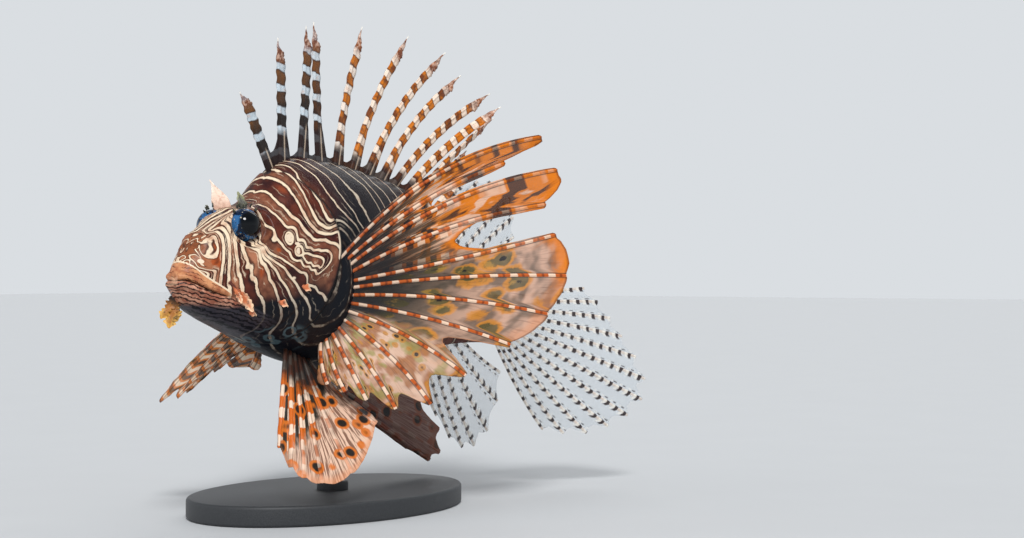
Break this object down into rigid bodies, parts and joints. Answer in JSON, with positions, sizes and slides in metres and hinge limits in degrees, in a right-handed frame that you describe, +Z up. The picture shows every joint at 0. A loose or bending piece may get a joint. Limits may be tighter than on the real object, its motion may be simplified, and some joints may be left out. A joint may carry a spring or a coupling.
{
  "type": "lionfish museum model",
  "caption": "Life-size red lionfish model swimming with fan-like pectoral fins and a crest of long banded spines, held on a plain oval display stand.",
  "frame": {"origin": "centre of the underside of the stand's base", "axes": "+Z up out of the base, -X the way the fish's head faces, -Y the fish's left side"},
  "size_m": [0.2767, 0.1603, 0.22],
  "materials": {
    "head_skin": "satin, slightly wet, striped skin",
    "flank_skin": "satin, slightly wet, striped skin",
    "tail_skin": "satin, slightly wet, striped skin",
    "eye": "wet and glossy, clear over a dark iris",
    "tentacle_skin": "thin pale skin",
    "cirrus_skin": "frilled golden skin",
    "spine_skin": "banded skin over slender spines",
    "clear_fin": "clear membrane with rows of dark and white spots",
    "pectoral_skin": "thin banded membrane on raised rays",
    "pelvic_skin": "thin spotted membrane on raised rays",
    "stand_paint": "smooth matt dark base",
    "stand_steel": "brushed rod"
  },
  "bodies": {
    "root": {"head": "head_skin", "trunk": "flank_skin", "tail_stem": "tail_skin", "eye_left": "eye", "eye_right": "eye", "brow_tentacle_left": "tentacle_skin", "brow_tentacle_right": "tentacle_skin", "mouth_cirrus_left": "cirrus_skin", "mouth_cirrus_right": "cirrus_skin", "spiny_dorsal_fin": "spine_skin", "soft_dorsal_fin": "clear_fin", "anal_fin": "clear_fin", "caudal_fin": "clear_fin", "pectoral_fin_left": "pectoral_skin", "pectoral_fin_right": "pectoral_skin", "pelvic_fin_left": "pelvic_skin", "pelvic_fin_right": "pelvic_skin", "stand_base": "stand_paint", "stand_rod": "stand_steel"}
  },
  "joints": []
}
